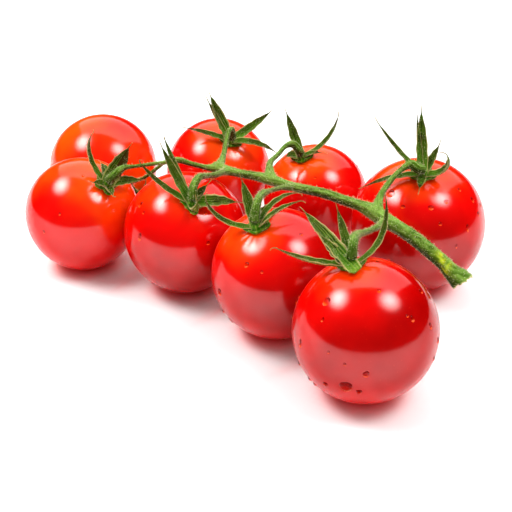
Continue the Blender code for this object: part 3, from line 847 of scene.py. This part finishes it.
def melted_vine():
    bm = bmesh.new()
    add_tube(bm, ROUTES[0], CUT_SLANT)
    for route in ROUTES[1:]:
        add_tube(bm, route)
    for route in ROUTES[1:]:
        start, step = route[0], route[STALK_AHEAD, :3] - route[0, :3]
        stalk = step / np.linalg.norm(step)
        nearest = np.argmin(np.linalg.norm(ROUTES[0][:, :3] - start[:3], axis=1))
        stem = ROUTES[0][max(nearest - STEM_BACK, 0), :3] - ROUTES[0][nearest, :3]
        stem = stem / max(np.linalg.norm(stem), 1e-9)
        for side in (stem, -stem):
            add_web(bm, start[:3], stalk, side, start[3] * WEB_SIZE)
    add_frays(bm, np.random.default_rng(4))
    mesh = bpy.data.meshes.new("rough_vine")
    bm.to_mesh(mesh)
    bm.free()
    rough = bpy.data.objects.new("rough_vine", mesh)
    bpy.context.collection.objects.link(rough)
    melt = rough.modifiers.new("melt", "REMESH")
    melt.mode, melt.voxel_size, melt.use_smooth_shade = "VOXEL", VOXEL, True
    relax = rough.modifiers.new("relax", "SMOOTH")
    relax.factor, relax.iterations = 0.5, SMOOTHING_ROUNDS
    done = bpy.data.meshes.new_from_object(rough.evaluated_get(bpy.context.evaluated_depsgraph_get()))
    bpy.data.objects.remove(rough)
    return done


VINE_MESH = melted_vine()
print("melted vine has", len(VINE_MESH.vertices), "points")

# %% [markdown]
# Each point of the melted mesh now looks up the nearest place on the routes. That gives how far along and
# how far round it lies, for the ridges and the fibres, and how near it is to a fork, to the cut or to the
# yellow patch. How far its surface faces down sets the painted shade on the stem's lower side.

# %% Ridges and values of the vine
RIDGES, RIDGE_HEIGHT, RIDGE_TWIST = 6, 0.00007, 180
WEB_REACH, WEB_PALENESS = 0.0042, 0.8
CUT_X, CUT_DEPTH = 0.0707, 0.004
CUT_FROM, CUT_SLOPE = 0.1, 2.5
# A thick route draws points from this share of its radius further away than a thin one does.
RADIUS_SHARE, POINTS_AT_ONCE = 0.5, 2000
FIBRE_LENGTH = 0.01
PATCH_X, PATCH_REACH, PATCH_SIDE = 0.0662, 0.0017, np.array([0.3, -0.3, 0.9])
# Painted shade: how dark the stem is drawn where its surface faces down, and how fast that grows.
SHADE_LEVEL, SHADE_SLOPE = 0.8, 1.1


def read_vectors(items, key):
    """A vector of each point or face of a mesh, as rows of numbers."""
    numbers = np.empty(len(items) * 3)
    items.foreach_get(key, numbers)
    return numbers.reshape(-1, 3)


def finish_vine(mesh):
    points, normals = read_vectors(mesh.vertices, "co"), read_vectors(mesh.vertices, "normal")
    rows = np.vstack(ROUTES)
    frames = np.vstack([route_frames(route) for route in ROUTES])
    length = np.concatenate([run_lengths(route) for route in ROUTES])
    nearest = np.concatenate([np.argmin(np.linalg.norm(part[:, None, :] - rows[None, :, :3], axis=2)
                                        - rows[None, :, 3] * RADIUS_SHARE, axis=1)
                              for part in np.array_split(points, max(1, len(points) // POINTS_AT_ONCE))])
    out = points - rows[nearest, :3]
    turn = np.arctan2(np.sum(out * frames[nearest, 2], axis=1), np.sum(out * frames[nearest, 1], axis=1))
    forks = np.array([route[0, :3] for route in ROUTES[1:]])
    to_fork = np.linalg.norm(points[:, None, :] - forks[None], axis=2).min(axis=1)
    web = np.exp(-(to_fork / WEB_REACH) ** 2)
    depth = RIDGE_HEIGHT * np.cos(RIDGES * turn + RIDGE_TWIST * length[nearest]) * (1 - 0.5 * web)
    points = points + normals * depth[:, None]
    mesh.vertices.foreach_set("co", points.ravel())
    facing = -frames[0, 0]
    near_cut = (np.abs((points - rows[0, :3]) @ facing) < CUT_DEPTH) * (points[:, 0] > CUT_X - CUT_DEPTH)
    patch = np.exp(-((points[:, 0] - PATCH_X) / PATCH_REACH) ** 2) * (normals @ PATCH_SIDE > 0.2)
    values = {
        "along": length[nearest] / FIBRE_LENGTH, "round": turn / math.tau,
        "web": WEB_PALENESS * web, "yellow": patch,
        "painted_underside_shade": np.clip(SHADE_LEVEL - SHADE_SLOPE * normals[:, 2], 0, 1),
        "cut": np.clip((normals @ facing - CUT_FROM) * CUT_SLOPE, 0, 1) * near_cut,
    }
    mesh.name = "stem_and_stalks"
    return place_mesh(mesh, STEM, values)


VINE = put_on_truss(finish_vine(VINE_MESH), "vine")

# %% [markdown]
# ## Hairs
#
# Stem, stalks and sepals are downy. A particle system would grow such hair, but as strands that belong to
# the renderer. Here each hair is a tiny three-sided spike in a plain mesh, so it is kept in any export. They
# stand on faces picked at random with a fixed seed, and each leans a little its own way.

# %% Hairs of stem and sepals
HAIR_PALE, HAIR_GREEN = from_srgb(224, 214, 170), from_srgb(176, 184, 112)
HAIR_RADIUS, HAIR_ROOT, HAIR_LEAST, HAIR_STRAY, HAIR_LEAN = 0.00006, 0.00003, 0.35, 0.35, 0.15


def make_hair_finish():
    material, nodes = new_material("plant down")
    blotch, grain = place_blotches(nodes, blotch_scale=300.0, grain_scale=2000.0)
    nodes.finish({"Base Color": nodes.mix(blotch, HAIR_PALE, HAIR_GREEN),
                  "Roughness": nodes.ramp(grain, 0, 1, 0.4, 0.6)}, {})
    return material


DOWN = make_hair_finish()


def grow_hairs(name, sources, count, longest, seed):
    """Spikes on the outside of the given pieces, spread by area."""
    rng = np.random.default_rng(seed)
    centres = np.vstack([read_vectors(piece.data.polygons, "center") for piece in sources])
    normals = np.vstack([read_vectors(piece.data.polygons, "normal") for piece in sources])
    areas = np.array([polygon.area for piece in sources for polygon in piece.data.polygons])
    chosen = rng.choice(len(areas), count, p=areas / areas.sum())
    aim = normals[chosen] + rng.normal(0, HAIR_STRAY, (count, 3))
    aim /= np.linalg.norm(aim, axis=1, keepdims=True)
    size = longest * rng.uniform(HAIR_LEAST, 1.0, count)
    side = np.cross(aim, rng.normal(0, 1, (count, 3)))
    side /= np.linalg.norm(side, axis=1, keepdims=True)
    other = np.cross(aim, side)
    foot = centres[chosen] - normals[chosen] * HAIR_ROOT
    points, faces = [], []
    for i in range(count):
        base = len(points)
        for turn in (0.0, math.tau / 3, 2 * math.tau / 3):
            points.append(foot[i] + (side[i] * math.cos(turn) + other[i] * math.sin(turn)) * HAIR_RADIUS)
        points.append(foot[i] + (aim[i] + side[i] * HAIR_LEAN) * size[i])
        faces += [(base, base + 1, base + 3), (base + 1, base + 2, base + 3), (base + 2, base, base + 3),
                  (base + 2, base + 1, base)]
    return mesh_piece(name, points, faces, DOWN, {})


put_on_truss(grow_hairs("stem_hairs", [VINE], count=5200, longest=0.00075, seed=11))
put_on_truss(grow_hairs("sepal_hairs", list(CALYXES.values()), count=5200, longest=0.00055, seed=12))

# %% [markdown]
# ## Water drops
#
# Drops of water sit on the fruits. Each one is a low dome that meets the skin at a rim, with its base a hair
# inside the skin. Real refraction would need light that bends through the drop on to the skin, which takes
# very many samples. A drop mostly shows a dark upper edge and a glow at its lower edge. So the material
# paints those two from the values "low" and "rim", and stays nearly clear between them.

# %% Water material
WATER_DARK, WATER_BRIGHT, UNLIT = from_srgb(124, 2, 0), from_srgb(255, 84, 24), from_srgb(0, 0, 0)


def make_water():
    material, nodes = new_material("water")
    low, rim = nodes.value_at("low"), nodes.value_at("rim")
    blotch, _ = place_blotches(nodes, blotch_scale=300.0, grain_scale=900.0)
    dark_arc = nodes.math("MULTIPLY", nodes.ramp(rim, 0.4, 0.85), nodes.ramp(low, 0.25, 0.55, 0.9, 0.0))
    seen = nodes.math("MAXIMUM", dark_arc, nodes.ramp(low, 0.4, 0.8, 0.05, 0.9))
    nodes.finish({"Base Color": nodes.mix(nodes.ramp(low, 0.45, 0.95), WATER_DARK, WATER_BRIGHT),
                  "Emission Color": nodes.mix(nodes.ramp(low, 0.35, 0.7), UNLIT, WATER_BRIGHT),
                  "Alpha": seen, "Roughness": nodes.ramp(blotch, 0, 1, 0.02, 0.05)},
                 {"IOR": 1.33, "Emission Strength": 0.4, "Specular IOR Level": 0.35})
    return material


WATER = make_water()
print("made", WATER.name)

# %% [markdown]
# Each drop is placed by where it shows in the 512 x 512 picture: a line from the camera through that place
# meets the fruit's ball, and the drop stands on the skin there. A drop could be dragged on to the skin by
# hand, but then it would stay behind if a fruit moved.

# %% Places of the drops
PIXELS = 512
FOCUS = LENS_MM / SENSOR_MM * PIXELS
BALL_SHARE = 0.99


def seen_at(number, across, down):
    """The point of a fruit's skin at a place in the picture, with the direction out of the skin there."""
    turn = camera.rotation_euler.to_matrix()
    ray = turn @ Vector(((across - PIXELS / 2) / FOCUS, -(down - PIXELS / 2) / FOCUS, -1.0))
    ray = np.array(ray.normalized())
    middle, radius = MIDDLES[number], FRUITS[number][2] * BALL_SHARE
    to_middle = middle - np.array(VIEW_FROM)
    reach = to_middle @ ray
    off = math.sqrt(max(to_middle @ to_middle - reach ** 2, 0.0))
    near = reach - math.sqrt(max(radius ** 2 - off ** 2, 0.0))
    out = np.array(VIEW_FROM) + ray * near - middle
    out /= np.linalg.norm(out)
    local = out @ fruit_frame(number)
    angle, around = math.acos(np.clip(local[2], -1, 1)), math.atan2(local[1], local[0])
    return middle + skin_offset(number, np.array([angle]), np.array([around]))[0], out


# Fruit, place across and down the picture, radius in millimetres before DROP_SCALE, stretch down the skin.
DROPS = (
    (5, 327, 302, 0.62, 1.35), (5, 346, 386, 1.05, 1.15), (5, 379, 291, 0.42, 1.0), (5, 366, 374, 0.55, 1.1),
    (5, 301, 343, 0.40, 2.0), (5, 326, 383, 0.45, 1.0), (5, 359, 391, 0.5, 1.0), (5, 308, 380, 0.45, 1.3),
    (5, 297, 365, 0.42, 1.2), (5, 313, 386, 0.40, 1.0), (5, 294, 300, 0.42, 1.6), (5, 300, 296, 0.35, 1.4),
    (5, 290, 316, 0.35, 1.5), (5, 323, 320, 0.28, 1.5), (5, 407, 316, 0.30, 1.0), (5, 412, 319, 0.40, 1.4),
    (5, 430, 326, 0.40, 1.4), (5, 437, 340, 0.40, 1.5), (5, 420, 292, 0.35, 1.4), (5, 389, 256, 0.45, 1.0),
    (5, 378, 262, 0.35, 1.0), (5, 433, 358, 0.38, 1.6), (5, 345, 364, 0.30, 1.0), (5, 329, 352, 0.28, 1.0),
    (4, 220, 292, 0.60, 1.3), (4, 216, 316, 0.42, 1.2), (4, 227, 323, 0.32, 2.6), (4, 247, 265, 0.45, 1.2),
    (4, 301, 235, 0.35, 1.0), (4, 284, 348, 0.32, 1.0), (4, 222, 333, 0.36, 1.0), (4, 262, 272, 0.30, 1.0),
    (3, 141, 205, 0.42, 1.5), (3, 144, 213, 0.30, 1.2), (3, 206, 213, 0.30, 1.0), (3, 214, 163, 0.35, 1.0),
    (3, 182, 181, 0.34, 1.3), (3, 208, 243, 0.35, 1.2), (3, 140, 237, 0.45, 1.8),
    (8, 391, 194, 0.75, 1.1), (8, 431, 208, 0.60, 0.8), (8, 467, 228, 0.35, 2.2), (8, 478, 214, 0.40, 1.4),
    (8, 480, 205, 0.35, 1.2), (8, 446, 202, 0.40, 1.2), (8, 403, 207, 0.42, 1.0), (8, 459, 190, 0.36, 1.2),
    (8, 440, 224, 0.34, 1.2), (8, 472, 200, 0.40, 1.6), (8, 456, 246, 0.30, 1.4),
    (7, 357, 166, 0.35, 1.2), (7, 315, 178, 0.32, 1.0), (2, 44, 232, 0.34, 1.3), (2, 83, 176, 0.34, 1.0),
    (6, 205, 122, 0.35, 1.0), (2, 60, 214, 0.28, 1.2),
)

# %% [markdown]
# A drop is rings of points round its middle, on a dome that follows the skin's own curve. Its outline wobbles
# a little, and drops on steep skin are drawn out downhill. A squashed ball would show its straight rim.

# %% Build the drops
DROP_SIDES, DROP_RINGS, DROP_HEIGHT, DROP_SCALE, DROP_SINK = 20, 7, 0.60, 1.45, 0.00006
DOME_CURVE = 2.4
# How far a drop's outline is from round, with two and with three waves.
WOBBLE_TWO, WOBBLE_THREE = 0.07, 0.05
# Twice a fruit's radius, by which the skin falls away under a drop.
SKIN_FALL = 0.034


def make_drops(name):
    points, faces, values = [], [], {"rim": [], "low": []}
    for number, across, down, size, stretch in DROPS:
        place, out = seen_at(number, across, down)
        downhill = np.array([0.0, 0.0, -1.0]) + out * out[2]
        downhill /= max(np.linalg.norm(downhill), 1e-6)
        side = np.cross(out, downhill)
        radius, base = size * DROP_SCALE / 1000, len(points)
        for ring in range(1, DROP_RINGS + 1):
            share = ring / DROP_RINGS
            level = radius * DROP_HEIGHT * (1 - share ** DOME_CURVE) - DROP_SINK
            level -= radius ** 2 * share ** 2 / SKIN_FALL
            for step in range(DROP_SIDES):
                turn = math.tau * step / DROP_SIDES
                wobble = WOBBLE_TWO * math.cos(2 * turn + across) + WOBBLE_THREE * math.cos(3 * turn + down)
                reach = radius * share * (1 + wobble)
                points.append(place + (side * math.cos(turn) + downhill * math.sin(turn) * stretch) * reach
                              + out * level)
                values["rim"].append(share)
                values["low"].append(0.5 + 0.5 * share * math.sin(turn))
        points.append(place + out * (radius * DROP_HEIGHT - DROP_SINK))
        points.append(place - out * (DROP_SINK * 2 + radius ** 2 / SKIN_FALL))
        values["rim"] += [0.0, 0.0]
        values["low"] += [0.5, 0.5]
        rim = base + (DROP_RINGS - 1) * DROP_SIDES
        faces += fan(len(points) - 2, range(base, base + DROP_SIDES))
        faces += fan(len(points) - 1, range(rim, rim + DROP_SIDES)[::-1])
        for near in range(base, rim, DROP_SIDES):
            faces += strip(near, near + DROP_SIDES, DROP_SIDES)
    drops = mesh_piece(name, points, faces, WATER, values)
    bm = bmesh.new()
    bm.from_mesh(drops.data)
    bmesh.ops.recalc_face_normals(bm, faces=bm.faces)
    bm.to_mesh(drops.data)
    bm.free()
    return drops


put_on_truss(make_drops("water_drops"))
print("drops:", len(DROPS))

# %% [markdown]
# ## Table and light
#
# The truss lies on a plain pale table. Two soft boxes stand left and right of it, a large dim panel leans in
# from behind, and the room beyond is darker. Gloss shows whatever is around it: the boxes give the two bright
# spots on each fruit, the panel the pale band at its top, the table the one low on it, and the dark room the
# deep red between.
#
# Light that comes through ripe fruits and bounces between them reddens the shadows on the table. Rendering
# that faithfully takes many samples, so that red shadow is painted: the table's mesh carries a value for it,
# full under each fruit, less where two are near.

# %% Table
TABLE_WHITE, TABLE_BRIGHT = from_srgb(243, 243, 243), from_srgb(246, 246, 246)
# Painted shadow: the red that the table is drawn in under the fruits and between them, as if lit by light
# bounced from them.
TABLE_RED_SHADOW = from_srgb(255, 30, 46)
TABLE_HALF, TABLE_FINE, TABLE_CELLS, TABLE_LEVEL = 0.45, 0.10, 120, -0.0001
# How far the painted red shadow reaches in fruit radii and how sharply it ends, under a fruit and then in the
# gap between two, where it is weaker.
RED_SHADOW_REACH, RED_SHADOW_EDGE = 0.56, 4
GAP_REACH, GAP_EDGE, GAP_RED_SHADOW = 1.12, 6, 0.6


def make_table_finish():
    material, nodes = new_material("pale table")
    blotch, grain = place_blotches(nodes, blotch_scale=20.0, grain_scale=400.0)
    colour = nodes.mix(blotch, TABLE_WHITE, TABLE_BRIGHT)
    nodes.finish({"Base Color": nodes.mix(nodes.value_at("painted_red_shadow"), colour, TABLE_RED_SHADOW),
                  "Roughness": nodes.ramp(grain, 0, 1, 0.5, 0.6)}, {"Specular IOR Level": 0.05})
    return material


def make_table():
    """A flat grid, fine near the truss, with the painted red shadow value at its points."""
    line = np.array([-TABLE_HALF, *np.linspace(-TABLE_FINE, TABLE_FINE, TABLE_CELLS + 1), TABLE_HALF])
    across, along = np.meshgrid(line, line)
    points = np.stack([across.ravel(), along.ravel(), np.full(across.size, TABLE_LEVEL)], -1)
    away = np.array([np.linalg.norm(points[:, :2] - MIDDLES[fruit][:2], axis=1) / FRUITS[fruit][2]
                     for fruit in FRUITS])
    first, second = np.sort(away, axis=0)[:2]
    painted_red_shadow = np.exp(-(first / RED_SHADOW_REACH) ** RED_SHADOW_EDGE)
    painted_red_shadow = np.maximum(painted_red_shadow, GAP_RED_SHADOW * np.exp(-(second / GAP_REACH) ** GAP_EDGE))
    row = len(line)
    faces = [(i * row + j, i * row + j + 1, (i + 1) * row + j + 1, (i + 1) * row + j)
             for i in range(row - 1) for j in range(row - 1)]
    return mesh_piece("table", points, faces, make_table_finish(), {"painted_red_shadow": painted_red_shadow})


TABLE = make_table()
print("table has", len(TABLE.data.vertices), "points")

# %% [markdown]
# The lights are placed round the camera's line of sight: an azimuth from it, a height angle and a distance.
# The two boxes fade towards their rims, as cloth in front of a lamp does, so their mirror images on the skin
# have soft edges. The room is one colour to the camera, another to light that fills shadows, and nearly black
# to mirrored rays.

# %% Lights and room
LOOK_AT = Vector((0.0, 0.0, 0.018))
# Turn from behind the truss in degrees, 90 is to its right, then height angle, distance, width and height of
# the light in metres, watts, and whether it fades towards its rim.
LIGHTS = {
    "left_box": (-90, 55, 0.60, 0.64, 0.48, 4.2, True),
    "right_box": (112, 55, 0.60, 0.50, 0.48, 2.7, True),
    "back_panel": (10, 50, 0.95, 1.55, 1.10, 10.6, False),
}
RIM_AT, PEAK = 0.41, 4.1
ROOM_MIRRORED, ROOM_FILL, ROOM_SEEN = 0.01, 0.49, 1.0


def add_light(name, turn, height, distance, width, tall, watts, soft):
    """A light aimed at the truss, dimmer at its rim if soft."""
    azimuth, height = VIEW_AZIMUTH - math.radians(turn), math.radians(height)
    level = Vector((-math.sin(azimuth), math.cos(azimuth), 0.0))
    away = level * math.cos(height) + Vector((0.0, 0.0, math.sin(height)))
    data = bpy.data.lights.new(name, "AREA")
    data.shape, data.size, data.size_y, data.energy = "ELLIPSE" if soft else "RECTANGLE", width, tall, watts
    if soft:
        data.use_nodes = True
        nodes = Nodes(data.node_tree)
        place = nodes.add("ShaderNodeNewGeometry").outputs["Parametric"]
        centred = nodes.add("ShaderNodeVectorMath", {0: place, 1: (0.5, 0.5, 0.0)}, operation="DISTANCE")
        data.node_tree.links.new(nodes.ramp(centred.outputs["Value"], 0.0, RIM_AT, PEAK, 0.0),
                                 data.node_tree.nodes["Emission"].inputs["Strength"])
    lamp = bpy.data.objects.new(name, data)
    lamp.location = LOOK_AT + away * distance
    lamp.rotation_euler = (-away).to_track_quat("-Z", "Y").to_euler()
    bpy.context.collection.objects.link(lamp)


def grey(level):
    return (level, level, level, 1.0)


for name, settings in LIGHTS.items():
    add_light(name, *settings)

world = bpy.data.worlds.new("room")
world.use_nodes = True
room = Nodes(world.node_tree)
ray = room.add("ShaderNodeLightPath").outputs
tone = room.mix(ray["Is Diffuse Ray"], grey(ROOM_MIRRORED), grey(ROOM_FILL))
tone = room.mix(ray["Is Camera Ray"], tone, grey(ROOM_SEEN))
world.node_tree.links.new(tone, world.node_tree.nodes["Background"].inputs["Color"])
bpy.context.scene.world = world
print("lights:", list(LIGHTS))
